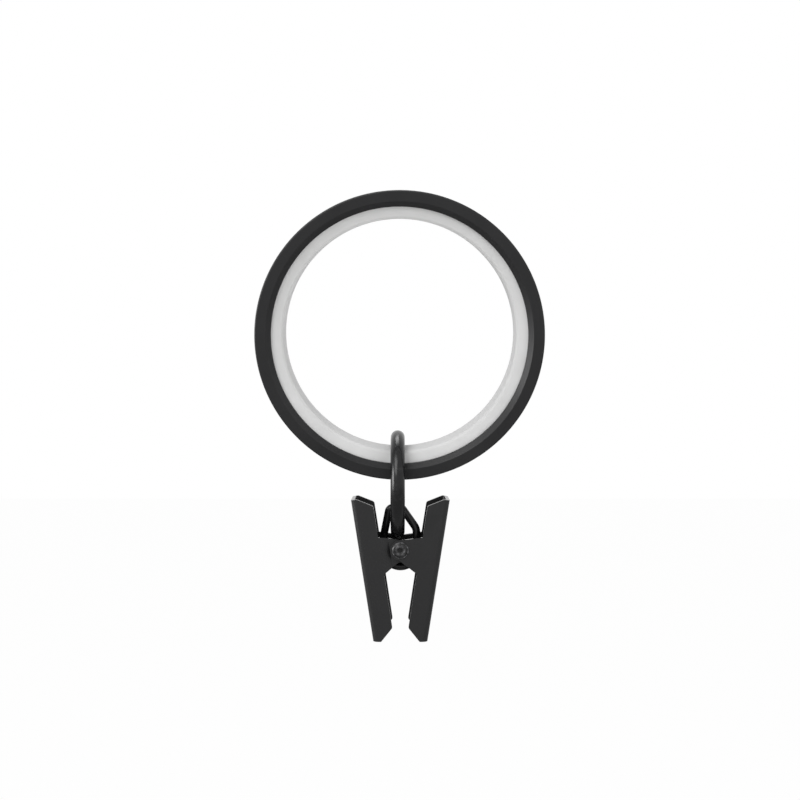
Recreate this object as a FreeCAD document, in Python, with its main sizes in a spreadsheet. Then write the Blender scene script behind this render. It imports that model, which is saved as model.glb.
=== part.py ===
# Curtain ring with a hanging clip, in millimetres.
# The ring's centre is the origin, the rod runs along Y and the clip hangs down -Z.
import FreeCAD, Part
import Sketcher
import math
import os
import re

Vector = FreeCAD.Vector

# name, value, what it measures
SIZES = [
    ("ringBore", 38.0, "free bore of the liner, which runs on the rod"),
    ("linerProud", 1.9, "how far the liner stands proud of the metal ring's lips"),
    ("ringWidth", 9.0, "width of the ring along the rod"),
    ("ringLean", 9.0, "degrees that the ring leans on its rod"),
    ("rimEdge", 0.3, "chamfer of the ring's outer corners"),
    ("faceBand", 1.8, "radial width of the ring's flat front face"),
    ("lipBevel", 0.8, "bevel from the front face down to the lip"),
    ("lipWall", 0.9, "thickness of each lip that traps the liner"),
    ("grooveWall", 1.2, "metal left behind the liner's groove"),
    ("linerPlay", 0.05, "clearance of the liner in its groove"),
    ("linerRun", 5.6, "width of the liner between its running edges"),
    ("linerEdge", 0.35, "chamfer of the liner's running edges"),
    ("loopOuter", 18.2, "outer diameter of the hanging loop"),
    ("loopWire", 2.35, "wire of the hanging loop"),
    ("loopPlay", 0.05, "clearance of the loop at the liner's edges"),
    ("loopSide", -0.32, "how far the loop hangs to the side of the ring's centre"),
    ("clipSide", 0.12, "how far the clip hangs to the side of the ring's centre"),
    ("rivetPlay", 0.5, "gap from the loop's lowest point to the rivet"),
    ("rivetShank", 2.0, "diameter of the rivet's shank"),
    ("rivetHead", 2.74, "diameter of the rivet's heads"),
    ("rivetDome", 0.5, "height of the rivet's heads"),
    ("rivetRound", 0.45, "rounding of the rivet's heads"),
    ("headPlay", 0.03, "gap between a head and the jaw"),
    ("holePlay", 0.05, "radial running clearance of the jaws on the rivet"),
    ("sheet", 0.6, "sheet that the jaws are folded from"),
    ("sheetPlay", 0.05, "gap between lugs that lie on each other"),
    ("clipDepth", 8.8, "depth of a jaw over its two flanges"),
    ("foldRadius", 0.9, "outside radius of the jaw's folds"),
    ("jawSlant", 9.0, "degrees that each jaw stands away from upright"),
    ("jawBack", 6.8, "from the rivet to the back of a jaw"),
    ("handleEdge", 3.3, "from the rivet to a handle's inner edge"),
    ("handleRoot", 2.65, "height of the lug's root above the rivet"),
    ("handleEnd", 9.4, "height of a handle's top above the rivet"),
    ("handleFlat", 0.95, "width of the level part at a handle's top"),
    ("handleDrop", 1.5, "height of the slope at a handle's top"),
    ("lugRadius", 1.68, "radius of a lug's round end"),
    ("lugHip", 1.84, "from the rivet to the hip of a lug's lower edge"),
    ("lugHipDrop", 2.66, "depth of that hip below the rivet"),
    ("jogStart", 1.9, "from the rivet to the start of the lug's joggle"),
    ("jogRun", 1.0, "length of that joggle"),
    ("legShoulder", 3.28, "from the rivet to a leg's inner edge at its top"),
    ("legShoulderDrop", 3.45, "depth of that point below the rivet"),
    ("legKnee", 3.32, "from the rivet to a leg's inner edge at its knee"),
    ("legKneeDrop", 12.45, "depth of the knee below the rivet"),
    ("legToe", 5.5, "from the rivet to the inner end of a leg's toe"),
    ("legToeDrop", 14.42, "depth of a leg's toe below the rivet"),
    ("cornerRound", 0.5, "rounding of the jaws' corners"),
    ("springWire", 1.3, "wire of the spring"),
    ("springTurn", 2.7, "radius of the spring's turns at the wire's centre"),
    ("springDrop", 0.5, "how far the middle of the spring's turns lies below the rivet"),
    ("springLeg", 45.0, "degrees from upright at which the spring's legs rise to its feet"),
    ("springPitch", 1.44, "distance between the spring's two turns"),
    ("eyeTop", 6.65, "height of the eye's wire centre above the rivet"),
    ("eyeLeft", 1.86, "how far the eye's top reaches to the left of the rivet"),
    ("eyeRight", 0.25, "how far the eye's top reaches to the right of the rivet"),
    ("eyeBend", 0.75, "radius of the bends at the eye's top"),
    ("leftBend", 2.4, "height above the rivet where the left arm leans in"),
    ("rightBend", 3.2, "height above the rivet where the right arm leans in"),
    ("armBend", 1.8, "radius of the bends in the arms and at the feet"),
    ("footPlay", 0.05, "gap from the spring's foot to the jaw"),
    ("footLength", 2.4, "length of the spring's foot along the jaw"),
]

doc = FreeCAD.newDocument("curtain_ring")
sheet = doc.addObject("Spreadsheet::Sheet", "sizes")
for row, (alias, value, meaning) in enumerate(SIZES, start=1):
    sheet.set("A%d" % row, alias)
    sheet.set("B%d" % row, str(value))
    sheet.set("C%d" % row, meaning)
    sheet.setAlias("B%d" % row, alias)
doc.recompute()
NAMES = {alias for alias, value, meaning in SIZES}

# Lengths that several pieces share
LINER_CREST = "(ringBore / 2)"
LIP_IN = "(ringBore / 2 + linerProud)"
SHELL_OUT = "(ringBore / 2 + linerProud + lipBevel + faceBand)"
FACE = "(ringWidth / 2)"
GROOVE_ROOT = "(%s - grooveWall)" % SHELL_OUT
GROOVE_SIDE = "(ringWidth / 2 - lipBevel - lipWall / 2)"
LINER_SIDE = "(%s - linerPlay)" % GROOVE_SIDE
LINER_FLAT = "(linerRun / 2 - linerEdge)"
LOOP_REACH = "(loopOuter / 2 - loopWire - loopPlay)"
LOOP_DROP = "(%s + sqrt(%s ^ 2 - %s ^ 2))" % (LINER_CREST, LOOP_REACH, LINER_FLAT)
LOOP_Y = "(%s * sin(ringLean * 1 deg))" % LOOP_DROP
LOOP_Z = "(0 - %s * cos(ringLean * 1 deg))" % LOOP_DROP
RIVET_Z = "(%s - loopOuter / 2 - rivetPlay - rivetShank / 2)" % LOOP_Z
FLANGE_OUT = "(clipDepth / 2)"
FLANGE_IN = "(clipDepth / 2 - sheet)"
LUG_OUT = "(clipDepth / 2 - sheet - sheetPlay)"
LUG_IN = "(clipDepth / 2 - 2 * sheet - sheetPlay)"


def size(text):
    """Number that an expression of the sheet's names gives."""
    return float(sheet.evalExpression(text))


def bound(text):
    """The expression as objects of the document read it."""
    return re.sub(r"[A-Za-z]+", lambda word: "sizes." + word[0] if word[0] in NAMES else word[0], text)


def bind(thing, prop, text):
    thing.setExpression(prop, bound(text))


def new_body(label):
    body = doc.addObject("PartDesign::Body", label)
    body.Label = label
    return body


def new_sketch(body, name, role):
    sketch = body.newObject("Sketcher::SketchObject", name)
    plane = [entry for entry in body.Origin.OriginFeatures if entry.Role == role][0]
    sketch.AttachmentSupport = [(plane, "")]
    sketch.MapMode = "FlatFace"
    return sketch


def draw(sketch, corners, round_end=None):
    """Closed outline through corners, (x, y) pairs of expressions. Where a coordinate is None it is
    left free, and the edge that starts at corner round_end is an arc about the sketch's origin."""
    first = sketch.GeometryCount
    guess = [Vector(size(x or "0"), size(y or "0 - lugRadius"), 0) for x, y in corners]
    count = len(guess)
    for number, start in enumerate(guess):
        end = guess[(number + 1) % count]
        if number == round_end:
            circle = Part.Circle(Vector(0, 0, 0), Vector(0, 0, 1), start.Length)
            sketch.addGeometry(Part.ArcOfCircle(circle, circle.parameter(start), circle.parameter(end)))
            sketch.addConstraint(Sketcher.Constraint("Coincident", first + number, 3, -1, 1))
        else:
            sketch.addGeometry(Part.LineSegment(start, end))
    for number in range(count):
        following = first + (number + 1) % count
        sketch.addConstraint(Sketcher.Constraint("Coincident", first + number, 2, following, 1))
    for number, corner in enumerate(corners):
        for kind, axis, text, value in (("DistanceX", -2, corner[0], guess[number].x),
                                        ("DistanceY", -1, corner[1], guess[number].y)):
            if text == "0":
                sketch.addConstraint(Sketcher.Constraint("PointOnObject", first + number, 1, axis))
            elif text:
                place = sketch.addConstraint(
                    Sketcher.Constraint(kind, -1, 1, first + number, 1, value))
                bind(sketch, "Constraints[%d]" % place, text)


def turned(body, name, corners):
    """Ring-shaped solid: the section's corners are (radius, place along Y)."""
    section = new_sketch(body, name + "_section", "XY_Plane")
    draw(section, corners)
    turn = body.newObject("PartDesign::Revolution", name)
    turn.Profile = section
    turn.ReferenceAxis = (section, ["V_Axis"])
    turn.Angle = 360
    return turn


def circles(shape, radius, offset):
    """Names of the round edges about Y with this radius, and this distance from the middle plane."""
    found = []
    for number, edge in enumerate(shape.Edges, start=1):
        if edge.Curve.TypeId != "Part::GeomCircle" or abs(edge.Curve.Radius - radius) > 1e-4:
            continue
        if abs(abs(edge.Curve.Center.y) - offset) < 1e-4:
            found.append("Edge%d" % number)
    return found


def uprights(shape, axis, places, room=0.02):
    """Names of the straight edges along axis that pass through the given places on the other two."""
    found = []
    for number, edge in enumerate(shape.Edges, start=1):
        if edge.Curve.TypeId != "Part::GeomLine":
            continue
        run = edge.Vertexes[-1].Point - edge.Vertexes[0].Point
        if abs(run[axis]) < run.Length - 1e-6:
            continue
        point = edge.Vertexes[0].Point
        flat = [point[other] for other in range(3) if other != axis]
        if any(abs(flat[0] - x) < room and abs(flat[1] - y) < room for x, y in places):
            found.append("Edge%d" % number)
    return found


def fillet(body, name, base, edges, radius):
    rounding = body.newObject("PartDesign::Fillet", name)
    rounding.Base = (base, edges)
    bind(rounding, "Radius", radius)
    doc.recompute()
    return rounding


# Metal ring: a turned ring with a groove inside, whose two lips trap the liner
def make_shell():
    body = new_body("ring_shell")
    half = [
        (SHELL_OUT, FACE + " - rimEdge"),
        (SHELL_OUT + " - rimEdge", FACE),
        (SHELL_OUT + " - faceBand", FACE),
        (LIP_IN, FACE + " - lipBevel"),
        (LIP_IN, GROOVE_SIDE),
        (GROOVE_ROOT, GROOVE_SIDE),
    ]
    mirrored = [(radius, "0 - (%s)" % along) for radius, along in reversed(half)]
    turned(body, "shell_turning", half + mirrored)
    lean(body)
    return body


# Liner: a smooth plastic ring that fills the groove and stands proud of the lips
def make_liner():
    body = new_body("ring_liner")
    half = [
        (GROOVE_ROOT + " - linerPlay", LINER_SIDE),
        (LIP_IN, LINER_SIDE),
        (LINER_CREST + " + linerEdge", "linerRun / 2"),
        (LINER_CREST, LINER_FLAT),
    ]
    mirrored = [(radius, "0 - (%s)" % along) for radius, along in reversed(half)]
    turned(body, "liner_turning", half + mirrored)
    lean(body)
    return body


def lean(body):
    """The ring hangs a little out of upright on its rod."""
    body.Placement.Rotation = FreeCAD.Rotation(Vector(1, 0, 0), size("ringLean"))
    bind(body, "Placement.Rotation.Angle", "ringLean * 1 deg")


# Hanging loop: a closed round wire that rides on the liner's two edges
def make_loop():
    loop = doc.addObject("Part::Torus", "hanging_loop")
    loop.Label = "hanging_loop"
    bind(loop, "Radius1", "(loopOuter - loopWire) / 2")
    bind(loop, "Radius2", "loopWire / 2")
    loop.Placement.Rotation = FreeCAD.Rotation(Vector(0, 1, 0), 90)
    bind(loop, "Placement.Base.x", "loopSide")
    bind(loop, "Placement.Base.y", LOOP_Y)
    bind(loop, "Placement.Base.z", LOOP_Z)
    return loop


def at_rivet(thing):
    bind(thing, "Placement.Base.x", "clipSide")
    bind(thing, "Placement.Base.y", LOOP_Y)
    bind(thing, "Placement.Base.z", RIVET_Z)


# Rivet: a shank with a domed head at each end
HEAD_SEAT = "(clipDepth / 2 + headPlay)"


def make_rivet():
    body = new_body("pivot_rivet")
    head = "rivetHead / 2"
    half = [
        ("0", HEAD_SEAT + " + rivetDome"),
        (head, HEAD_SEAT + " + rivetDome"),
        (head, HEAD_SEAT),
        ("rivetShank / 2", HEAD_SEAT),
    ]
    mirrored = [(radius, "0 - (%s)" % along) for radius, along in reversed(half)]
    turn = turned(body, "rivet_turning", half + mirrored)
    doc.recompute()
    tops = circles(turn.Shape, size(head), size(HEAD_SEAT + " + rivetDome"))
    fillet(body, "rivet_domes", turn, tops, "rivetRound")
    at_rivet(body)
    return body


# Jaw: one folded sheet. Its back and two flanges make a channel that stands beside the rivet,
# and a lug on each flange reaches over to the rivet. One lug is flat and the other is joggled
# inwards, so that two equal jaws lie lug on lug when one is turned half round.
def make_jaw(label, half_turn):
    body = new_body(label)
    back = "jawBack"
    web = "(jawBack - sheet)"
    mouth = "(legShoulder - cornerRound)"

    fold = new_sketch(body, label + "_fold", "XY_Plane")
    draw(fold, [
        (mouth, FLANGE_OUT),
        (back, FLANGE_OUT),
        (back, "0 - " + FLANGE_OUT),
        (mouth, "0 - " + FLANGE_OUT),
        (mouth, "0 - " + FLANGE_IN),
        (web, "0 - " + FLANGE_IN),
        (web, FLANGE_IN),
        (mouth, FLANGE_IN),
    ])
    channel = body.newObject("PartDesign::Pad", label + "_channel")
    channel.Profile = fold
    channel.SideType = "Symmetric"
    bind(channel, "Length", "2 * legToeDrop + 2 * sheet")
    doc.recompute()
    outside = [(size(back), size(FLANGE_OUT)), (size(back), -size(FLANGE_OUT))]
    inside = [(size(web), size(FLANGE_IN)), (size(web), -size(FLANGE_IN))]
    folds = fillet(body, label + "_outer_folds", channel, uprights(channel.Shape, 2, outside), "foldRadius")
    folds = fillet(body, label + "_inner_folds", folds, uprights(folds.Shape, 2, inside),
                   "foldRadius - sheet")

    lugs = new_sketch(body, label + "_lug_section", "XY_Plane")
    tip = "0 - lugRadius - sheet"
    root = "(legShoulder + sheet)"
    draw(lugs, [
        (tip, "0 - " + FLANGE_OUT),
        (root, "0 - " + FLANGE_OUT),
        (root, "0 - " + FLANGE_IN),
        (tip, "0 - " + FLANGE_IN),
    ])
    draw(lugs, [
        (tip, LUG_IN),
        ("jogStart", LUG_IN),
        ("jogStart + jogRun", FLANGE_IN),
        (root, FLANGE_IN),
        (root, FLANGE_OUT),
        ("jogStart + jogRun", FLANGE_OUT),
        ("jogStart", LUG_OUT),
        (tip, LUG_OUT),
    ])
    plates = body.newObject("PartDesign::Pad", label + "_lug_plates")
    plates.Profile = lugs
    plates.SideType = "Symmetric"
    bind(plates, "Length", "2 * legShoulderDrop + 2 * sheet")
    doc.recompute()

    blank = new_sketch(body, label + "_blank", "XZ_Plane")
    beyond = "(jawBack + sheet)"
    draw(blank, [
        ("0", "lugRadius"),
        ("0", None),
        ("lugHip", "0 - lugHipDrop"),
        ("legShoulder", "0 - legShoulderDrop"),
        ("legKnee", "0 - legKneeDrop"),
        ("legToe", "0 - legToeDrop"),
        (beyond, "0 - legToeDrop + (%s - legToe) * tan(jawSlant * 1 deg)" % beyond),
        (beyond, "handleEnd"),
        ("jawBack - handleFlat", "handleEnd"),
        ("handleEdge", "handleEnd - handleDrop"),
        ("handleEdge", "handleRoot"),
    ], round_end=0)
    far = "(2 * legToeDrop)"
    draw(blank, [
        ("0 - " + far, far),
        (far, far),
        (far, "0 - " + far),
        ("0 - " + far, "0 - " + far),
    ])
    trim = body.newObject("PartDesign::Pocket", label + "_trim")
    trim.Profile = blank
    trim.Type = "ThroughAll"
    trim.SideType = "Symmetric"
    doc.recompute()

    hole = new_sketch(body, label + "_hole", "XZ_Plane")
    hole.addGeometry(Part.Circle(Vector(0, 0, 0), Vector(0, 0, 1), size("rivetShank / 2 + holePlay")))
    hole.addConstraint(Sketcher.Constraint("Coincident", 0, 3, -1, 1))
    place = hole.addConstraint(Sketcher.Constraint("Radius", 0, size("rivetShank / 2 + holePlay")))
    bind(hole, "Constraints[%d]" % place, "rivetShank / 2 + holePlay")
    bore = body.newObject("PartDesign::Pocket", label + "_bore")
    bore.Profile = hole
    bore.Type = "ThroughAll"
    bore.SideType = "Symmetric"
    doc.recompute()

    corners = [
        (size("handleEdge"), size("handleEnd - handleDrop")),
        (size("jawBack - handleFlat"), size("handleEnd")),
        (size("legShoulder"), -size("legShoulderDrop")),
        (size("legKnee"), -size("legKneeDrop")),
    ]
    fillet(body, label + "_corners", bore, uprights(bore.Shape, 1, corners), "cornerRound")
    slant = FreeCAD.Rotation(Vector(0, 1, 0), size("jawSlant"))
    if half_turn:
        slant = FreeCAD.Rotation(Vector(0, 1, 0), -size("jawSlant")) * FreeCAD.Rotation(Vector(0, 0, 1), 180)
    body.Placement.Rotation = slant
    at_rivet(body)
    return body


# Spring: one wire with two half turns under the rivet. Between them it rises into the eye that
# holds the loop, and beyond them its two ends bear on the backs of the jaws.
def rounded_path(points, radii):
    """Straight runs through the points, joined by tangent arcs of the given radii."""
    edges = []
    here = points[0]
    for number in range(1, len(points) - 1):
        corner = points[number]
        before = (points[number - 1] - corner).normalize()
        after = (points[number + 1] - corner).normalize()
        turn = math.pi - before.getAngle(after)
        reach = radii[number - 1] * math.tan(turn / 2)
        start = corner + before * reach
        end = corner + after * reach
        bisector = (before + after).normalize()
        middle = corner + bisector * (radii[number - 1] / math.cos(turn / 2) - radii[number - 1])
        if start.distanceToPoint(here) > 1e-4:
            edges.append(Part.LineSegment(here, start).toShape())
        edges.append(Part.Arc(start, middle, end).toShape())
        here = end
    edges.append(Part.LineSegment(here, points[-1]).toShape())
    return Part.Wire(edges)


def make_spring():
    turn = size("springTurn")
    wire = size("springWire")
    pitch = size("springPitch") / 2
    slant = math.radians(size("jawSlant"))
    # the foot lies along the jaw's back, and the leg runs down from it to its turn
    lean_out = size("jawBack - sheet - footPlay") - wire / 2
    back = Vector(-math.cos(slant), 0, -math.sin(slant))
    along = Vector(-math.sin(slant), 0, math.cos(slant))
    rise = math.radians(size("springLeg"))
    leg = Vector(-math.sin(rise), 0, math.cos(rise))
    drop = Vector(0, 0, -size("springDrop"))
    leave = Vector(-math.cos(rise), 0, -math.sin(rise)) * turn + drop
    run = (lean_out - leave.dot(back)) / leg.dot(back)
    knee = leave + leg * run
    foot = knee + along * size("footLength")
    # the turn under the rivet ends upright beside it, and its path has two rounded corners
    quarter = (math.pi - rise) / 4
    reach = turn / math.cos(quarter)
    bottom = []
    for angle in (-3 * quarter, -quarter):
        bottom.append(Vector(reach * math.cos(angle), 0, reach * math.sin(angle)) + drop)
    top = size("eyeTop")
    right_bend = Vector(turn, -pitch, size("rightBend"))
    left_bend = Vector(-turn, pitch, size("leftBend"))
    eye = [Vector(size("eyeRight"), 0, top), Vector(-size("eyeLeft"), 0, top)]
    left_bottom = [Vector(-point.x, 0, point.z) for point in reversed(bottom)]
    front = Vector(0, -pitch, 0)
    rear = Vector(0, pitch, 0)
    points = [foot + front, knee + front] + [point + front for point in bottom]
    points += [right_bend] + eye + [left_bend]
    points += [point + rear for point in left_bottom]
    mirrored_knee = Vector(-knee.x, 0, knee.z)
    mirrored_foot = Vector(-foot.x, 0, foot.z)
    points += [mirrored_knee + rear, mirrored_foot + rear]
    arm = size("armBend")
    tight = size("eyeBend")
    radii = [arm, turn, turn, arm, tight, tight, arm, turn, turn, arm]
    path = rounded_path(points, radii)
    start = path.Edges[0]
    direction = (start.valueAt(start.LastParameter) - start.valueAt(start.FirstParameter)).normalize()
    profile = Part.Wire([Part.makeCircle(wire / 2, points[0], direction)])
    solid = path.makePipeShell([profile], True, False)
    spring = doc.addObject("Part::Feature", "clip_spring")
    spring.Label = "clip_spring"
    spring.Shape = solid
    spring.Placement.Base = Vector(size("clipSide"), size(LOOP_Y), size(RIVET_Z))
    return spring


pieces = [
    make_shell(),
    make_liner(),
    make_loop(),
    make_rivet(),
    make_jaw("right_jaw", False),
    make_jaw("left_jaw", True),
    make_spring(),
]
doc.recompute()

for thing in doc.Objects:
    if "Invalid" in thing.State or "Error" in thing.State:
        raise RuntimeError("%s did not build: %s" % (thing.Name, thing.State))
for piece in pieces:
    if piece.Shape.isNull() or not piece.Shape.isValid() or len(piece.Shape.Solids) != 1:
        raise RuntimeError("%s has no single valid solid" % piece.Label)

os.makedirs("parts", exist_ok=True)
for piece in pieces:
    piece.Shape.exportStep("parts/%s.step" % piece.Label)
    box = piece.Shape.BoundBox
    print("%-14s %8.2f mm3  x %.2f..%.2f  y %.2f..%.2f  z %.2f..%.2f" % (
        piece.Label, piece.Shape.Volume, box.XMin, box.XMax, box.YMin, box.YMax, box.ZMin, box.ZMax))
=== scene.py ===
# Curtain ring with a hanging clip: a coated steel ring with a white liner, a wire loop and a sprung
# clip of two folded jaws. The rod runs along Y, and the clip hangs down -Z.
import math

import bmesh
import bpy
from mathutils import Matrix, Vector


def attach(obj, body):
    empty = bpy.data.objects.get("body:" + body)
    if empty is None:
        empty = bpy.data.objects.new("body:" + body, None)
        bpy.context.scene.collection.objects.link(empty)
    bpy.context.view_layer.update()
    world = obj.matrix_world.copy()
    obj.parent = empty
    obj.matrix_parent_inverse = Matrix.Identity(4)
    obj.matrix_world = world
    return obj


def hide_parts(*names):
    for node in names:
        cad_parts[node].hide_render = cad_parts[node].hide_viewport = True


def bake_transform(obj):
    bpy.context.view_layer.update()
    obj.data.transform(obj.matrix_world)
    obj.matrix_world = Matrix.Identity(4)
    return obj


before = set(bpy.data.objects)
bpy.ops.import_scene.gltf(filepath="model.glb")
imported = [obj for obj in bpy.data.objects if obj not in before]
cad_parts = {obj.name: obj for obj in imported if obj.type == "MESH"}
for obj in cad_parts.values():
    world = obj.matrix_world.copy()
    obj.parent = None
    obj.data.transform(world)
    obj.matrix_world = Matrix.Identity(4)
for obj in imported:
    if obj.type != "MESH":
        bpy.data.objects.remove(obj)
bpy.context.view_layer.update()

millimetre = 0.001

# where the pieces sit, in mm
places = {
    "ringLean": 9.0,  # degrees that the ring leans on its rod
    "loopCentre": (-0.32, 3.9478, -24.9253),
    "rivetCentre": (0.12, 3.9478, -35.5253),
    "jawSlant": 9.0,  # degrees that each jaw stands away from upright
}


# sRGB hex to the linear colour that nodes take
def linear(hexColour):
    channels = []
    for start in (1, 3, 5):
        value = int(hexColour[start:start + 2], 16) / 255
        channels.append(value / 12.92 if value <= 0.04045 else ((value + 0.055) / 1.055) ** 2.4)
    return (*channels, 1.0)


white = linear("#ffffff")


# texture scale for a pattern of that real size
def perMetre(sizeInMm):
    return 1 / (sizeInMm * millimetre)


# Adds a node with its settings and links. The "stops" of a colour ramp are (position, hex colour).
def addNode(tree, kind, place, settings=None, links=None):
    node = tree.nodes.new(kind)
    node.location = place
    for name, value in (settings or {}).items():
        if name == "stops":
            elements = node.color_ramp.elements
            while len(elements) < len(value):
                elements.new(0.5)
            for element, (position, colour) in zip(elements, value):
                element.position = position
                element.color = linear(colour)
        elif isinstance(name, int) or name in node.inputs:
            node.inputs[name].default_value = value
        else:
            setattr(node, name, value)
    for name, source in (links or {}).items():
        tree.links.new(source, node.inputs[name])
    return node


# New material with a shader that holds the constant values. Gives its tree, shader and coordinates.
def startMaterial(name, settings):
    material = bpy.data.materials.new(name)
    material.use_nodes = True
    tree = material.node_tree
    tree.nodes.clear()
    shader = addNode(tree, "ShaderNodeBsdfPrincipled", (300, 0), settings)
    addNode(tree, "ShaderNodeOutputMaterial", (600, 0), links={"Surface": shader.outputs[0]})
    coordinates = addNode(tree, "ShaderNodeTexCoord", (-1300, 0)).outputs["Object"]
    return material, tree, shader, coordinates


# What varies over a surface: its colour, its roughness and the bump in its normal
def driveShader(tree, shader, colour, rough, bump):
    tree.links.new(colour, shader.inputs["Base Color"])
    tree.links.new(rough.outputs["Result"], shader.inputs["Roughness"])
    tree.links.new(bump.outputs["Normal"], shader.inputs["Normal"])


# Polyester powder coat baked on turned steel: satin black. Its orange peel and fine grit break up
# the reflection of the room, so that a face looks charcoal and never mirror-like.
def powderCoatedSteel():
    finish = {
        "base": "#1b1b1c", "thick": "#222223",
        "cloudSize": 9.0,  # where the coat lies thicker
        "peelSize": 0.45, "peelDepth": 0.006,  # orange peel of a thick powder coat
        # grains of the powder are nearer 0.04 mm, drawn coarser so that they show
        "gritSize": 0.09, "gritDepth": 0.003,
        "roughness": (0.4, 0.5),
    }
    material, tree, shader, where = startMaterial("powderCoatedSteel", {
        "IOR": 1.5, "Specular IOR Level": 0.28})
    peel = addNode(tree, "ShaderNodeTexNoise", (-1050, 200), {
        "Scale": perMetre(finish["peelSize"]), "Detail": 2.0, "Roughness": 0.45}, {"Vector": where})
    grit = addNode(tree, "ShaderNodeTexNoise", (-1050, -100), {
        "Scale": perMetre(finish["gritSize"]), "Detail": 3.0, "Roughness": 0.6}, {"Vector": where})
    cloud = addNode(tree, "ShaderNodeTexNoise", (-1050, -400), {
        "Scale": perMetre(finish["cloudSize"]), "Detail": 4.0, "Roughness": 0.55}, {"Vector": where})
    colour = addNode(tree, "ShaderNodeValToRGB", (-500, 300), {
        "stops": [(0.3, finish["base"]), (0.75, finish["thick"])]}, {"Fac": cloud.outputs["Fac"]})
    low, high = finish["roughness"]
    rough = addNode(tree, "ShaderNodeMapRange", (-500, 0), {
        "From Min": 0.3, "From Max": 0.7, "To Min": low, "To Max": high},
        {"Value": grit.outputs["Fac"]})
    wavy = addNode(tree, "ShaderNodeBump", (-250, -200), {
        "Strength": 0.35, "Distance": finish["peelDepth"] * millimetre},
        {"Height": peel.outputs["Fac"]})
    grainy = addNode(tree, "ShaderNodeBump", (0, -200), {
        "Strength": 0.35, "Distance": finish["gritDepth"] * millimetre},
        {"Height": grit.outputs["Fac"], "Normal": wavy.outputs["Normal"]})
    driveShader(tree, shader, colour.outputs["Color"], rough, grainy)
    return material


# Injection moulded polypropylene, natural white: soft, a little light goes into it, and the mould's
# turning marks run round it very faintly.
def mouldedPolypropylene():
    finish = {
        "shade": "#c8c8c8", "clean": "#cfcfcf",
        "flowSize": 6.0,  # slow changes of tone where the plastic flowed
        # turning marks of the mould are about 0.08 mm apart, drawn coarser so that they show
        "markPitch": 0.3157, "markDepth": 0.002,
        "lightDepth": (0.9, 0.9, 0.85),  # how far red, green and blue light go in
        "roughness": (0.52, 0.62),
    }
    bandsPerUnit = 20 / (2 * math.pi)  # of a wave texture at a scale of 1
    material, tree, shader, where = startMaterial("mouldedPolypropylene", {
        "IOR": 1.49, "Specular IOR Level": 0.2, "Subsurface Weight": 0.12, "Subsurface Scale": 1.0,
        "Subsurface Radius": [depth * millimetre for depth in finish["lightDepth"]]})
    flow = addNode(tree, "ShaderNodeTexNoise", (-1050, 200), {
        "Scale": perMetre(finish["flowSize"]), "Detail": 3.0, "Roughness": 0.5}, {"Vector": where})
    marks = addNode(tree, "ShaderNodeTexWave", (-1050, -100), {
        "wave_type": "BANDS", "bands_direction": "Y",
        "Scale": perMetre(finish["markPitch"]) / bandsPerUnit,
        "Distortion": 0.4, "Detail": 1.0, "Detail Scale": 2.0}, {"Vector": where})
    colour = addNode(tree, "ShaderNodeValToRGB", (-500, 300), {
        "stops": [(0.25, finish["shade"]), (0.7, finish["clean"])]}, {"Fac": flow.outputs["Fac"]})
    low, high = finish["roughness"]
    rough = addNode(tree, "ShaderNodeMapRange", (-500, 0), {
        "From Min": 0.3, "From Max": 0.7, "To Min": low, "To Max": high},
        {"Value": flow.outputs["Fac"]})
    turned = addNode(tree, "ShaderNodeBump", (-250, -200), {
        "Strength": 0.06, "Distance": finish["markDepth"] * millimetre},
        {"Height": marks.outputs["Fac"]})
    driveShader(tree, shader, colour.outputs["Color"], rough, turned)
    return material


# Drawn steel wire, phosphated and dipped black: glossier than the ring, with soft highlights along
# the wire and small rubs where it has run on other pieces.
def dippedSteelWire(name, grainSize):
    finish = {
        "base": "#111112", "rubbed": "#2b2b2c",
        "grainDepth": 0.004,
        "rubSize": 1.3,  # rubbed patches of about a wire's width
        "roughness": (0.2, 0.3),
    }
    material, tree, shader, where = startMaterial(name, {"IOR": 1.5, "Specular IOR Level": 0.31})
    dip = addNode(tree, "ShaderNodeTexNoise", (-1050, 200), {
        "Scale": perMetre(grainSize), "Detail": 3.0, "Roughness": 0.55}, {"Vector": where})
    rub = addNode(tree, "ShaderNodeTexNoise", (-1050, -100), {
        "Scale": perMetre(finish["rubSize"]), "Detail": 5.0, "Roughness": 0.62}, {"Vector": where})
    colour = addNode(tree, "ShaderNodeValToRGB", (-500, 300), {
        "stops": [(0.55, finish["base"]), (0.8, finish["rubbed"])]}, {"Fac": rub.outputs["Fac"]})
    low, high = finish["roughness"]
    rough = addNode(tree, "ShaderNodeMapRange", (-500, 0), {
        "From Min": 0.3, "From Max": 0.75, "To Min": low, "To Max": high},
        {"Value": rub.outputs["Fac"]})
    dipped = addNode(tree, "ShaderNodeBump", (-250, -200), {
        "Strength": 0.3, "Distance": finish["grainDepth"] * millimetre},
        {"Height": dip.outputs["Fac"]})
    driveShader(tree, shader, colour.outputs["Color"], rough, dipped)
    return material


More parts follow.
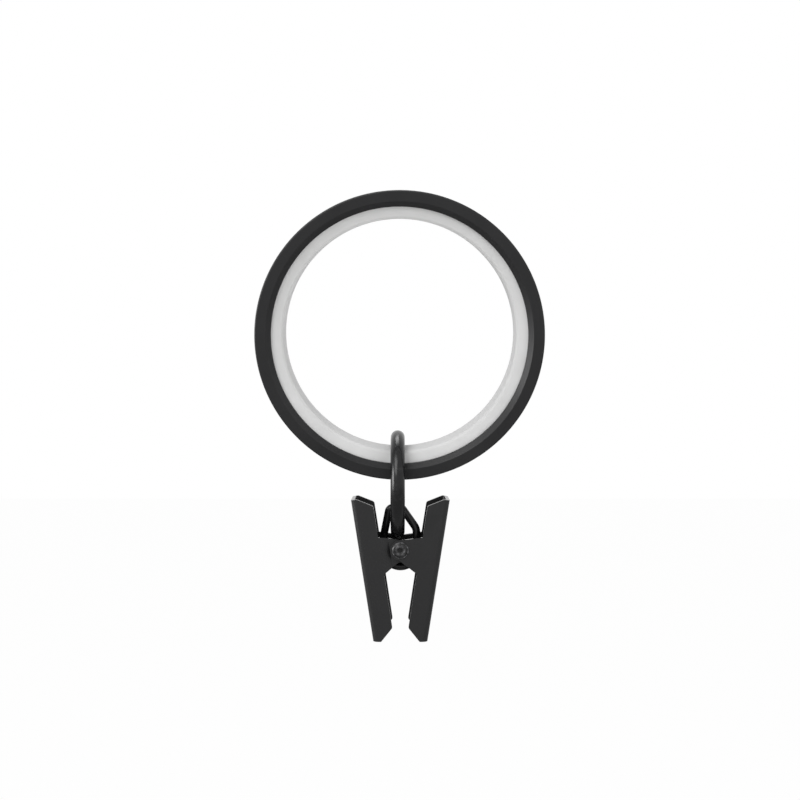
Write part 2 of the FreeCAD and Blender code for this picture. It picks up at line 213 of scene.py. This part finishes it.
# Cold rolled strip, stamped and dip-painted black: nearly flat faces with a fine even tooth, and
# fingers have polished it a little in soft patches.
def paintedStrip(name, base, polished, roughness):
    finish = {
        # the rolled strip's tooth is finer under its paint, drawn coarser so that it shows
        "toothSize": 0.07, "toothDepth": 0.003,
        "patchSize": 3.5,  # polished patches, about a finger's touch on so small a piece
    }
    material, tree, shader, where = startMaterial(name, {"IOR": 1.5, "Specular IOR Level": 0.4})
    tooth = addNode(tree, "ShaderNodeTexNoise", (-1050, 200), {
        "Scale": perMetre(finish["toothSize"]), "Detail": 2.0, "Roughness": 0.5}, {"Vector": where})
    patch = addNode(tree, "ShaderNodeTexNoise", (-1050, -100), {
        "Scale": perMetre(finish["patchSize"]), "Detail": 4.0, "Roughness": 0.55}, {"Vector": where})
    colour = addNode(tree, "ShaderNodeValToRGB", (-500, 300), {
        "stops": [(0.35, base), (0.75, polished)]}, {"Fac": patch.outputs["Fac"]})
    low, high = roughness
    rough = addNode(tree, "ShaderNodeMapRange", (-500, 0), {
        "From Min": 0.3, "From Max": 0.7, "To Min": high, "To Max": low},
        {"Value": patch.outputs["Fac"]})
    toothed = addNode(tree, "ShaderNodeBump", (-250, -200), {
        "Strength": 0.3, "Distance": finish["toothDepth"] * millimetre},
        {"Height": tooth.outputs["Fac"]})
    driveShader(tree, shader, colour.outputs["Color"], rough, toothed)
    return material


# Upset steel rivet, blackened before setting: the setting tool leaves marks on its head, drawn lighter
# in spots as painted highlights, and rings of painted shade and painted highlight run round the head.
def blackenedRivet():
    finish = {
        # the struck colour is the tool marks, drawn lighter so that they also paint highlights
        "base": "#1c1c1d", "struck": "#6e6e70",
        "strikeSize": 0.4, "strikeDepth": 0.05,  # marks of the setting tool
        "headRadius": 1.37,
        # painted shade in the dimple and before the rim, painted highlight on the raised ring and at
        # the rim
        "paintedShadeAndHighlightRings": [(0.0, "#202020"), (0.28, "#303030"), (0.5, "#e0e0e0"), (0.7, "#8a8a8a"),
                      (0.84, "#404040"), (0.94, "#ffffff")],
        "roughness": (0.22, 0.36),
    }
    material, tree, shader, where = startMaterial("blackenedRivet", {
        "IOR": 1.5, "Specular IOR Level": 0.35})
    strike = addNode(tree, "ShaderNodeTexNoise", (-1050, 200), {
        "Scale": perMetre(finish["strikeSize"]), "Detail": 3.0, "Roughness": 0.6}, {"Vector": where})
    # tool marks in the colour, their lighter spots partly a painted highlight
    toolMarksAndPaintedGlints = addNode(tree, "ShaderNodeValToRGB", (-750, 300), {
        "stops": [(0.4, finish["base"]), (0.68, finish["struck"])]}, {"Fac": strike.outputs["Fac"]})
    across = addNode(tree, "ShaderNodeVectorMath", (-1050, 600), {
        "operation": "MULTIPLY", 1: (1, 0, 1)}, {0: where})
    radius = addNode(tree, "ShaderNodeVectorMath", (-850, 600), {
        "operation": "LENGTH"}, {0: across.outputs[0]})
    share = addNode(tree, "ShaderNodeMapRange", (-650, 600), {
        "From Max": finish["headRadius"] * millimetre}, {"Value": radius.outputs["Value"]})
    # rings of painted shade and painted highlight round the head, multiplied into its colour
    paintedRingLight = addNode(tree, "ShaderNodeValToRGB", (-450, 600), {
        "stops": finish["paintedShadeAndHighlightRings"]}, {"Fac": share.outputs["Result"]})
    colour = addNode(tree, "ShaderNodeMix", (-200, 400), {
        "data_type": "RGBA", "blend_type": "MULTIPLY", 0: 1.0},
        {6: toolMarksAndPaintedGlints.outputs["Color"], 7: paintedRingLight.outputs["Color"]})
    low, high = finish["roughness"]
    rough = addNode(tree, "ShaderNodeMapRange", (-500, 0), {
        "From Min": 0.3, "From Max": 0.7, "To Min": high, "To Max": low},
        {"Value": strike.outputs["Fac"]})
    struck = addNode(tree, "ShaderNodeBump", (-250, -200), {
        "Strength": 0.7, "Distance": finish["strikeDepth"] * millimetre},
        {"Height": strike.outputs["Fac"]})
    driveShader(tree, shader, colour.outputs[2], rough, struck)
    return material


finishes = {
    "ring": powderCoatedSteel(),
    "liner": mouldedPolypropylene(),
    "loop": dippedSteelWire("dippedLoopWire", 0.3),
    "spring": dippedSteelWire("dippedSpringWire", 0.2),
    "rivet": blackenedRivet(),
    "jaw": paintedStrip("paintedStrip", "#161617", "#1d1d1e", (0.33, 0.45)),
    "jawEdge": paintedStrip("thinPaintOnEdges", "#202021", "#2e2e2f", (0.15, 0.22)),
}
print("materials ready:", len(finishes))


# The piece rides on its body and stands for the solid of that node
def settle(thing, body, node):
    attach(thing, body)
    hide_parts(node)


def meshObject(name, points, faces, material, normals=None):
    mesh = bpy.data.meshes.new(name)
    mesh.from_pydata([Vector(point) * millimetre for point in points], [], faces)
    mesh.materials.append(material)
    mesh.shade_smooth()
    if normals:
        mesh.normals_split_custom_set_from_vertices(normals)
    thing = bpy.data.objects.new(name, mesh)
    bpy.context.scene.collection.objects.link(thing)
    return thing


# Mesh that an object has once its curve is filled or its modifiers are applied
def evaluatedMesh(thing):
    bpy.context.view_layer.update()
    return bpy.data.meshes.new_from_object(thing.evaluated_get(bpy.context.evaluated_depsgraph_get()))


# Arc of that radius, tangent to both runs at a corner, as (point, direction of travel) pairs
def cornerArc(behind, corner, ahead, radius, steps):
    before = (behind - corner).normalized()
    after = (ahead - corner).normalized()
    turn = math.pi - before.angle(after)
    outwards = (before * after.dot(before) - after).normalized()
    centre = corner + before * radius * math.tan(turn / 2) - outwards * radius
    arc = []
    for step in range(steps + 1):
        cosine = math.cos(turn * step / steps)
        sine = math.sin(turn * step / steps)
        arc.append((centre + (outwards * cosine - before * sine) * radius,
                    -before * cosine - outwards * sine))
    return arc


# Closed section through (x, y, radius) corners. Gives its points, and the outward normal at each.
def roundedSection(corners, steps):
    points, normals = [], []
    area = sum(corner[0] * ahead[1] - ahead[0] * corner[1]
               for corner, ahead in zip(corners, corners[1:] + corners[:1]))
    if area < 0:
        corners = corners[::-1]
    for number, (x, y, radius) in enumerate(corners):
        behind = Vector(corners[number - 1][:2])
        ahead = Vector(corners[(number + 1) % len(corners)][:2])
        for point, travel in cornerArc(behind, Vector((x, y)), ahead, radius, steps):
            points.append(point)
            normals.append(Vector((travel.y, -travel.x)))
    return points, normals


# Piece turned about its own Y and the same on both sides of it. The corners of the half at +Y are
# (radius, place along Y, rounding).
def turnedPiece(name, half, material, segments, steps, centre=(0, 0, 0), lean=0.0):
    corners = half + [(radius, -along, rounding) for radius, along, rounding in reversed(half)]
    section, sectionNormals = roundedSection(corners, steps)
    points, normals, faces = [], [], []
    count = len(section)
    for segment in range(segments):
        around = Matrix.Rotation(2 * math.pi * segment / segments, 4, "Y")
        for point, normal in zip(section, sectionNormals):
            points.append(around @ Vector((point.x, point.y, 0)))
            normals.append(around @ Vector((normal.x, normal.y, 0)))
        following = (segment + 1) % segments
        for number in range(count):
            other = (number + 1) % count
            faces.append((segment * count + number, following * count + number,
                          following * count + other, segment * count + other))
    thing = meshObject(name, points, faces, material, normals)
    thing.location = Vector(centre) * millimetre
    thing.rotation_euler = (math.radians(lean), 0, 0)
    return thing


# Metal ring: turned, with a flat face, an inner bevel and a groove behind its two lips
ringSizes = {
    "outer": 23.5, "face": 4.5, "faceBand": 1.8, "bevel": 0.8, "lip": 20.9,
    "grooveRoot": 22.3, "grooveSide": 3.25,
    "rimRound": 0.3, "bevelRound": 0.12, "lipRound": 0.05,
    "segments": 320, "arcSteps": 5,
}


def makeRing(sizes):
    half = [
        (sizes["outer"], sizes["face"], sizes["rimRound"]),
        (sizes["outer"] - sizes["faceBand"], sizes["face"], sizes["bevelRound"]),
        (sizes["lip"], sizes["face"] - sizes["bevel"], sizes["bevelRound"]),
        (sizes["lip"], sizes["grooveSide"], sizes["lipRound"]),
        (sizes["grooveRoot"], sizes["grooveSide"], sizes["lipRound"]),
    ]
    ring = turnedPiece("coatedRing", half, finishes["ring"], sizes["segments"], sizes["arcSteps"],
                       lean=places["ringLean"])
    settle(ring, "ring", "ring_shell")


# Liner: fills the groove, and its sloped sides come up to a flat running surface
linerSizes = {
    "root": 22.25, "side": 3.2, "lip": 20.9, "bore": 19.0, "run": 2.8, "edge": 0.35,
    "rootRound": 0.1, "lipRound": 0.2, "edgeRound": 0.3,
    "segments": 320, "arcSteps": 5,
}


def makeLiner(sizes):
    half = [
        (sizes["root"], sizes["side"], sizes["rootRound"]),
        (sizes["lip"], sizes["side"], sizes["lipRound"]),
        (sizes["bore"] + sizes["edge"], sizes["run"], sizes["edgeRound"]),
        (sizes["bore"], sizes["run"] - sizes["edge"], sizes["edgeRound"]),
    ]
    liner = turnedPiece("whiteLiner", half, finishes["liner"], sizes["segments"], sizes["arcSteps"],
                        lean=places["ringLean"])
    settle(liner, "ring", "ring_liner")


makeRing(ringSizes)
makeLiner(linerSizes)
print("ring and liner made")


# Round wire along a dense path. An open wire starts with a rounded cut and ends with a flat one.
def wirePiece(name, path, radius, material, sides, closed=False, endRound=0.0, endSteps=4):
    count = len(path)
    stations = []
    for number, place in enumerate(path):
        if closed:
            ahead, behind = path[(number + 1) % count], path[number - 1]
        else:
            ahead, behind = path[min(number + 1, count - 1)], path[max(number - 1, 0)]
        tangent = (ahead - behind).normalized()
        if stations:
            across = (stations[-1][1].rotation_difference(tangent) @ across).normalized()
        else:
            across = tangent.orthogonal().normalized()
        across = (across - tangent * across.dot(tangent)).normalized()
        stations.append((place, tangent, across, radius))
    if not closed:
        place, tangent, across, wide = stations.pop(0)
        cut = []
        for step in range(endSteps + 1):
            angle = math.pi / 2 * step / endSteps
            cut.append((place + tangent * endRound * (1 - math.cos(angle)), tangent, across,
                        wide - endRound * (1 - math.sin(angle))))
        stations = cut + stations
    points, faces = [], []
    for place, tangent, sideways, wide in stations:
        other = tangent.cross(sideways)
        for side in range(sides):
            angle = 2 * math.pi * side / sides
            points.append(place + (sideways * math.cos(angle) + other * math.sin(angle)) * wide)
    total = len(stations)
    for number in range(total if closed else total - 1):
        following = (number + 1) % total
        for side in range(sides):
            nextSide = (side + 1) % sides
            faces.append((number * sides + side, number * sides + nextSide,
                          following * sides + nextSide, following * sides + side))
    if not closed:
        faces.append(tuple(reversed(range(sides))))
        faces.append(tuple(range((total - 1) * sides, total * sides)))
    return meshObject(name, points, faces, material)


# Hanging loop: one turn of round wire, closed, in the plane of the rod
loopSizes = {"outer": 18.2, "wire": 2.35, "steps": 240, "sides": 40}


def makeLoop(sizes):
    centre = Vector(places["loopCentre"])
    radius = (sizes["outer"] - sizes["wire"]) / 2
    path = []
    for step in range(sizes["steps"]):
        angle = 2 * math.pi * step / sizes["steps"]
        path.append(centre + Vector((0, math.cos(angle), math.sin(angle))) * radius)
    loop = wirePiece("wireLoop", path, sizes["wire"] / 2, finishes["loop"], sizes["sides"], closed=True)
    settle(loop, "loop", "hanging_loop")


# Spring: its ends bear on the jaws, its turns pass under the rivet, and between them it rises into
# the eye that holds the loop. It is one wire, drawn in two halves that meet on top of the eye.
springSizes = {
    "wire": 1.3, "sides": 32, "endRound": 0.1,
    "turn": 2.7, "drop": 0.5,  # radius of the half turns, and their middle below the rivet
    "pitch": 1.44,  # between the two half turns
    "leg": 45.0, "foot": 2.4, "footPlay": 0.05,
    "back": 6.8, "sheet": 0.6,  # where the jaws' backs are
    "eyeTop": 6.65, "eyeLeft": 1.86, "eyeRight": 0.25, "eyeBend": 0.75,
    "leftBend": 2.4, "rightBend": 3.2, "armBend": 1.8,
    "bendFrom": 3.0, "bendTo": 5.2,  # how far out a leg starts and ends to follow its jaw
    "arcStep": 6.0,  # degrees between the points of an arc
    "closest": 0.02,  # an arc that starts nearer to the point before it drops its own first point
}


# Straight runs through the corners, joined by tangent arcs
def roundedPath(corners, radii, arcStep, closest):
    path = [corners[0]]
    for behind, corner, ahead, radius in zip(corners, corners[1:], corners[2:], radii):
        turn = (corner - behind).angle(ahead - corner)
        steps = max(3, int(math.degrees(turn) / arcStep))
        arc = [point for point, travel in cornerArc(behind, corner, ahead, radius, steps)]
        path += arc if (arc[0] - path[-1]).length > closest else arc[1:]
    return path + [corners[-1]]


def makeSpring(sizes):
    turn = sizes["turn"]
    half = sizes["pitch"] / 2
    slant = math.radians(places["jawSlant"])
    rise = math.radians(sizes["leg"])
    reachBack = sizes["back"] - sizes["sheet"] - sizes["footPlay"] - sizes["wire"] / 2
    back = Vector((-math.cos(slant), 0, -math.sin(slant)))
    along = Vector((-math.sin(slant), 0, math.cos(slant)))
    leg = Vector((-math.sin(rise), 0, math.cos(rise)))
    drop = Vector((0, 0, -sizes["drop"]))
    leave = Vector((-math.cos(rise), 0, -math.sin(rise))) * turn + drop
    knee = leave + leg * (reachBack - leave.dot(back)) / leg.dot(back)
    foot = knee + along * sizes["foot"]
    quarter = (math.pi - rise) / 4
    bottom = [Vector((math.cos(angle), 0, math.sin(angle))) * turn / math.cos(quarter) + drop
              for angle in (-3 * quarter, -quarter)]
    top = sizes["eyeTop"]
    middle = Vector(((sizes["eyeRight"] - sizes["eyeLeft"]) / 2, 0, top))
    radii = [sizes["armBend"], turn, turn, sizes["armBend"], sizes["eyeBend"]]
    centre = Vector(places["rivetCentre"])
    halves = [
        ("frontSpringHalf", 1, "left_jaw_body", sizes["rightBend"], sizes["eyeRight"]),
        ("rearSpringHalf", -1, "right_jaw_body", sizes["leftBend"], -sizes["eyeLeft"]),
    ]
    for name, side, jaw, bendHeight, eyeSide in halves:
        corners = [Vector((side * point.x, -side * half, point.z)) for point in (foot, knee, *bottom)]
        corners += [Vector((side * turn, -side * half, bendHeight)), Vector((eyeSide, 0, top)), middle]
        path = roundedPath(corners, radii, sizes["arcStep"], sizes["closest"])
        spring = wirePiece(name, [centre + point for point in path], sizes["wire"] / 2,
                           finishes["spring"], sizes["sides"], endRound=sizes["endRound"])
        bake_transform(spring)
        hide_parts("clip_spring")


# Rivet: its two heads are set over the lugs, and the setting tool leaves a dimple with a raised ring
rivetSizes = {
    "shank": 1.0, "head": 1.37, "seat": 4.43, "dome": 0.5, "seatRound": 0.03,
    "axis": 0.0005,  # the dimple's floor starts this near the axis
    "dimple": 0.3, "dimpleDepth": 0.14, "dimpleRound": 0.1, "crest": 0.72, "crestRound": 0.3,
    "shoulder": 0.2, "shoulderDrop": 0.16, "rimDrop": 0.34, "rimRound": 0.12,
    "segments": 96, "arcSteps": 4,
}


def makeRivet(sizes):
    top = sizes["seat"] + sizes["dome"]
    half = [
        (sizes["axis"], top - sizes["dimpleDepth"], 0.0),
        (sizes["dimple"], top - sizes["dimpleDepth"], sizes["dimpleRound"]),
        (sizes["crest"], top, sizes["crestRound"]),
        (sizes["head"] - sizes["shoulder"], top - sizes["shoulderDrop"], sizes["crestRound"]),
        (sizes["head"], top - sizes["rimDrop"], sizes["rimRound"]),
        (sizes["head"], sizes["seat"], sizes["seatRound"]),
        (sizes["shank"], sizes["seat"], sizes["seatRound"]),
    ]
    rivet = turnedPiece("setRivet", half, finishes["rivet"], sizes["segments"], sizes["arcSteps"],
                        centre=places["rivetCentre"])
    settle(rivet, "clip_core", "pivot_rivet")


makeLoop(loopSizes)
makeSpring(springSizes)
makeRivet(rivetSizes)
print("loop, spring and rivet made")


# Jaw: a stamped blank, pierced for the rivet and folded into a channel. One lug is joggled inwards,
# so that two equal jaws lie lug on lug when one is turned half round. The handle's and the leg's
# corners are (x, z, rounding) from the rivet's axis.
jawSizes = {
    "sheet": 0.6, "depth": 8.8, "fold": 0.9, "back": 6.8,
    "handle": [(5.85, 9.4, 0.5), (3.3, 7.9, 0.5), (3.3, 2.65, 0.08)],
    "lug": 1.68, "hole": 1.05,
    "leg": [(1.84, -2.66, 0.1), (3.28, -3.45, 0.5), (3.32, -12.45, 0.5), (5.5, -14.42, 0.08)],
    "jogStart": 1.8, "jogRun": 1.25, "jogDepth": 0.65,
    "edgeRound": 0.07, "sharpest": 40.0,  # edges that turn by more degrees than this are rounded
    "bendSteps": 8, "lugSteps": 32, "holeSteps": 48,
    "weld": 1e-4,  # mm, points of the filled blank nearer than this are one
    "level": 0.001,  # radians, an edge of the filled blank that turns by less goes
}

# what follows from the jaw's sizes
foldMiddle = jawSizes["fold"] - jawSizes["sheet"] / 2  # radius of the sheet's middle in the fold
foldStart = jawSizes["back"] - jawSizes["fold"]  # where the flange's flat ends
foldRun = foldMiddle * math.pi / 2  # length of blank in one fold
backHalf = jawSizes["depth"] / 2 - jawSizes["fold"]  # half the flat width of the back
tipSlope = math.tan(math.radians(places["jawSlant"]))  # brings the tip level on the slanted jaw


# Open edge of one flange from the top of its fold down to the tip, as (x, z)
def flangeOutline(sizes):
    lug = sizes["lug"]
    tipX, tipZ = sizes["leg"][-1][:2]
    top = (foldStart, sizes["handle"][0][1])
    bottom = (foldStart, tipZ + (foldStart - tipX) * tipSlope)

    def rounded(corners):
        run = []
        for behind, (x, z, radius), ahead in zip(corners, corners[1:], corners[2:]):
            corner = Vector((x, z))
            before = (Vector(behind[:2]) - corner).normalized()
            after = (Vector(ahead[:2]) - corner).normalized()
            turn = math.pi - before.angle(after)
            centre = corner + (before + after).normalized() * radius / math.cos(turn / 2)
            start = corner + before * (radius * math.tan(turn / 2)) - centre
            bend = 1 if before.x * after.y - before.y * after.x < 0 else -1
            for step in range(sizes["bendSteps"] + 1):
                angle = bend * turn * step / sizes["bendSteps"]
                run.append(centre + Matrix.Rotation(angle, 2) @ start)
        return run

    lugEdge = []
    for step in range(sizes["lugSteps"] + 1):
        angle = math.pi / 2 + math.pi * step / sizes["lugSteps"]
        lugEdge.append(Vector((math.cos(angle), math.sin(angle))) * lug)
    handle = rounded([top, *sizes["handle"], (0.0, lug)])
    leg = rounded([(0.0, -lug), *sizes["leg"], bottom])
    return handle + lugEdge + leg + [Vector(bottom)]


# Mesh of the flat blank: a flange on each side of the back, with x across the blank and y up it
def flatBlank(name, sizes):
    def flat(point, side):
        return Vector((side * (backHalf + foldRun + foldStart - point.x), point.y))

    flange = flangeOutline(sizes)
    tipX, tipZ = sizes["leg"][-1][:2]
    tip = []
    for step in range(1, sizes["bendSteps"] + 1):
        bend = math.pi / 2 * (1 - step / sizes["bendSteps"])
        x = foldStart + sizes["fold"] * math.cos(bend)
        tip.append(Vector((-(backHalf + foldMiddle * bend), tipZ + (x - tipX) * tipSlope)))
    tip += [Vector((-point.x, point.y)) for point in reversed(tip)]
    outline = [flat(point, -1) for point in flange] + tip
    outline += [flat(point, 1) for point in reversed(flange)]
    angles = [2 * math.pi * step / sizes["holeSteps"] for step in range(sizes["holeSteps"])]
    circle = [Vector((math.cos(angle), math.sin(angle))) * sizes["hole"] for angle in angles]
    holes = [[flat(Vector((0, 0)), side) + point for point in circle] for side in (-1, 1)]

    curve = bpy.data.curves.new(name + "Blank", "CURVE")
    curve.dimensions = "2D"
    curve.fill_mode = "BOTH"
    for loop in [outline, *holes]:
        spline = curve.splines.new("POLY")
        spline.points.add(len(loop) - 1)
        for point, place in zip(spline.points, loop):
            point.co = (place.x, place.y, 0, 1)
        spline.use_cyclic_u = True
    blank = bpy.data.objects.new(name + "Blank", curve)
    bpy.context.scene.collection.objects.link(blank)
    mesh = evaluatedMesh(blank)
    bpy.data.objects.remove(blank)
    bpy.data.curves.remove(curve)
    return mesh


# Where a point of the flat blank comes to lie once the sheet is folded and its far lug joggled
def foldedPoint(sizes, across, height):
    side = 1 if across > 0 else -1
    beyond = abs(across) - backHalf
    if beyond <= 0:
        return Vector((foldStart + foldMiddle, across, height))
    bend = beyond / foldMiddle
    if bend <= math.pi / 2:
        return Vector((foldStart + foldMiddle * math.cos(bend),
                       side * (backHalf + foldMiddle * math.sin(bend)), height))
    x = foldStart - (beyond - foldRun)
    inwards = 0.0
    if side > 0:
        share = (sizes["jogStart"] + sizes["jogRun"] - x) / sizes["jogRun"]
        inwards = sizes["jogDepth"] * min(1.0, max(0.0, share))
    return Vector((x, side * (backHalf + foldMiddle - inwards), height))


# Cuts the blank across where it bends, so that it bends smoothly, and folds it
def foldBlank(mesh, sizes):
    sheet = bmesh.new()
    sheet.from_mesh(mesh)
    bmesh.ops.remove_doubles(sheet, verts=sheet.verts, dist=sizes["weld"])
    bmesh.ops.dissolve_limit(sheet, angle_limit=sizes["level"], verts=sheet.verts, edges=sheet.edges)
    shares = [step / sizes["bendSteps"] for step in range(sizes["bendSteps"] + 1)]
    jog = backHalf + foldRun + foldStart - sizes["jogStart"]
    lines = [side * (backHalf + foldRun * share) for side in (-1, 1) for share in shares]
    lines += [jog - sizes["jogRun"] * share for share in shares]
    for line in lines:
        everything = sheet.verts[:] + sheet.edges[:] + sheet.faces[:]
        bmesh.ops.bisect_plane(sheet, geom=everything, plane_co=(line, 0, 0), plane_no=(1, 0, 0))
    for vertex in sheet.verts:
        vertex.co = foldedPoint(sizes, vertex.co.x, vertex.co.y) * millimetre
    bmesh.ops.recalc_face_normals(sheet, faces=sheet.faces)
    sheet.to_mesh(mesh)
    sheet.free()


def makeJaw(name, sizes, halfTurn, body, node):
    mesh = flatBlank(name, sizes)
    foldBlank(mesh, sizes)
    mesh.materials.clear()
    mesh.materials.append(finishes["jaw"])
    mesh.materials.append(finishes["jawEdge"])
    jaw = bpy.data.objects.new(name, mesh)
    bpy.context.scene.collection.objects.link(jaw)
    thick = jaw.modifiers.new("sheetThickness", "SOLIDIFY")
    thick.thickness = sizes["sheet"] * millimetre
    thick.offset = 0.0
    thick.material_offset_rim = 1
    edges = jaw.modifiers.new("stampedEdges", "BEVEL")
    edges.width = sizes["edgeRound"] * millimetre
    edges.segments = 2
    edges.limit_method = "ANGLE"
    edges.angle_limit = math.radians(sizes["sharpest"])
    edges.harden_normals = True
    edges.material = 1
    jaw.data = evaluatedMesh(jaw)
    jaw.modifiers.clear()
    bpy.data.meshes.remove(mesh)
    jaw.data.name = name

    slant = math.radians(places["jawSlant"])
    turn = Matrix.Rotation(slant, 4, "Y")
    if halfTurn:
        turn = Matrix.Rotation(-slant, 4, "Y") @ Matrix.Rotation(math.pi, 4, "Z")
    jaw.matrix_world = Matrix.Translation(Vector(places["rivetCentre"]) * millimetre) @ turn
    settle(jaw, body, node)


makeJaw("rightJaw", jawSizes, False, "right_jaw_body", "right_jaw")
makeJaw("leftJaw", jawSizes, True, "left_jaw_body", "left_jaw")
print("jaws folded")


# Room: white paper floor and a white room, with a soft light above on the left and a fill that lights
# without being mirrored. One lamp beside the ring and one above it only show in reflections.
roomSizes = {
    "floorDrop": -0.16, "floorSize": 3.0,
    "paper": "#f4f4f3", "paperLight": "#f7f7f6", "fibreSize": 2.0,
    "paperGlow": 0.97,  # share of the paper that looks plain white
    "floorMirrored": 0.5,  # how bright the part mirrors it
    "worldLight": 0.58,
    "aim": (0, 0, -0.012),
    "keyPower": 2.3, "keySize": 0.39, "keyPlace": (-0.27, -0.385, 0.39),
    "fillPower": 0.9, "fillSize": 0.5, "fillPlace": (0.45, -0.35, 0.05),
    "sidePower": 1.5, "sideSize": 0.2, "sidePlace": (-0.45, -0.084, 0.047),
    "topPower": 0.76, "topSize": 0.22, "topPlace": (-0.03, 0.19, 0.4),
}


def addSoftLight(lamp, sizes):
    light = bpy.data.lights.new(lamp + "Light", "AREA")
    light.energy = sizes[lamp + "Power"]
    light.shape = "SQUARE"
    light.size = sizes[lamp + "Size"]
    thing = bpy.data.objects.new(lamp + "Light", light)
    thing.location = sizes[lamp + "Place"]
    thing.rotation_euler = (Vector(sizes["aim"]) - thing.location).to_track_quat("-Z", "Y").to_euler()
    bpy.context.scene.collection.objects.link(thing)
    return thing


# Matt background paper: even and white to the eye, greyer where the part mirrors it, and it still
# takes a shadow
def backgroundPaper(sizes):
    material, tree, shader, where = startMaterial("backgroundPaper", {
        "Specular IOR Level": 0.1, "Roughness": 0.9})
    fibre = addNode(tree, "ShaderNodeTexNoise", (-1050, 200), {
        "Scale": perMetre(sizes["fibreSize"]), "Detail": 3.0, "Roughness": 0.5}, {"Vector": where})
    tone = addNode(tree, "ShaderNodeValToRGB", (-500, 300), {
        "stops": [(0.3, sizes["paper"]), (0.7, sizes["paperLight"])]}, {"Fac": fibre.outputs["Fac"]})
    tree.links.new(tone.outputs["Color"], shader.inputs["Base Color"])
    light = addNode(tree, "ShaderNodeLightPath", (-500, 600))
    seen = addNode(tree, "ShaderNodeMath", (-250, 600), {"operation": "MAXIMUM"},
                   {0: light.outputs["Is Camera Ray"], 1: light.outputs["Is Glossy Ray"]})
    share = addNode(tree, "ShaderNodeMath", (0, 600), {
        "operation": "MULTIPLY", 1: sizes["paperGlow"]}, {0: seen.outputs[0]})
    strength = addNode(tree, "ShaderNodeMapRange", (0, 350), {
        "To Min": sizes["floorMirrored"], "To Max": 1.0}, {"Value": light.outputs["Is Camera Ray"]})
    glow = addNode(tree, "ShaderNodeEmission", (300, 300), {
        "Color": white}, {"Strength": strength.outputs["Result"]})
    both = addNode(tree, "ShaderNodeMixShader", (450, 500), links={
        0: share.outputs[0], 1: shader.outputs[0], 2: glow.outputs[0]})
    output = next(node for node in tree.nodes if node.type == "OUTPUT_MATERIAL")
    tree.links.new(both.outputs[0], output.inputs["Surface"])
    return material


# White room: plain white where it is seen or mirrored, and dimmer as a light
def makeWorld(sizes):
    world = bpy.data.worlds.new("whiteRoom")
    bpy.context.scene.world = world
    world.use_nodes = True
    tree = world.node_tree
    tree.nodes.clear()
    light = addNode(tree, "ShaderNodeLightPath", (-700, 200))
    seen = addNode(tree, "ShaderNodeMath", (-450, 200), {"operation": "MAXIMUM"},
                   {0: light.outputs["Is Camera Ray"], 1: light.outputs["Is Glossy Ray"]})
    through = addNode(tree, "ShaderNodeMath", (-250, 200), {"operation": "MAXIMUM"},
                      {0: seen.outputs[0], 1: light.outputs["Is Transmission Ray"]})
    lit = addNode(tree, "ShaderNodeBackground", (0, 0), {
        "Color": white, "Strength": sizes["worldLight"]})
    plain = addNode(tree, "ShaderNodeBackground", (0, -150), {"Color": white, "Strength": 1.0})
    both = addNode(tree, "ShaderNodeMixShader", (250, 0), links={
        0: through.outputs[0], 1: lit.outputs[0], 2: plain.outputs[0]})
    addNode(tree, "ShaderNodeOutputWorld", (450, 0), links={"Surface": both.outputs[0]})


def makeRoom(sizes):
    half, drop = sizes["floorSize"] / 2, sizes["floorDrop"]
    corners = [(-half, -half, drop), (half, -half, drop), (half, half, drop), (-half, half, drop)]
    mesh = bpy.data.meshes.new("paperFloor")
    mesh.from_pydata(corners, [], [(0, 1, 2, 3)])
    mesh.materials.append(backgroundPaper(sizes))
    floor = bpy.data.objects.new("paperFloor", mesh)
    bpy.context.scene.collection.objects.link(floor)
    addSoftLight("key", sizes)
    addSoftLight("fill", sizes).visible_glossy = False
    addSoftLight("side", sizes).visible_diffuse = False
    addSoftLight("top", sizes).visible_diffuse = False
    makeWorld(sizes)


makeRoom(roomSizes)
print("room lit")

# Camera: level, in front of the ring and a little below its centre
cameraSizes = {"lens": 50.0, "sensor": 36.0, "near": 0.005, "place": (0.00006, -0.18375, -0.01071)}


def makeCamera(sizes):
    lens = bpy.data.cameras.new("frontCamera")
    lens.lens = sizes["lens"]
    lens.sensor_width = sizes["sensor"]
    lens.clip_start = sizes["near"]
    camera = bpy.data.objects.new("frontCamera", lens)
    camera.location = sizes["place"]
    camera.rotation_euler = (math.pi / 2, 0, 0)
    bpy.context.scene.collection.objects.link(camera)
    bpy.context.scene.camera = camera


makeCamera(cameraSizes)
bpy.context.scene.view_settings.view_transform = "Standard"

bpy.context.view_layer.update()
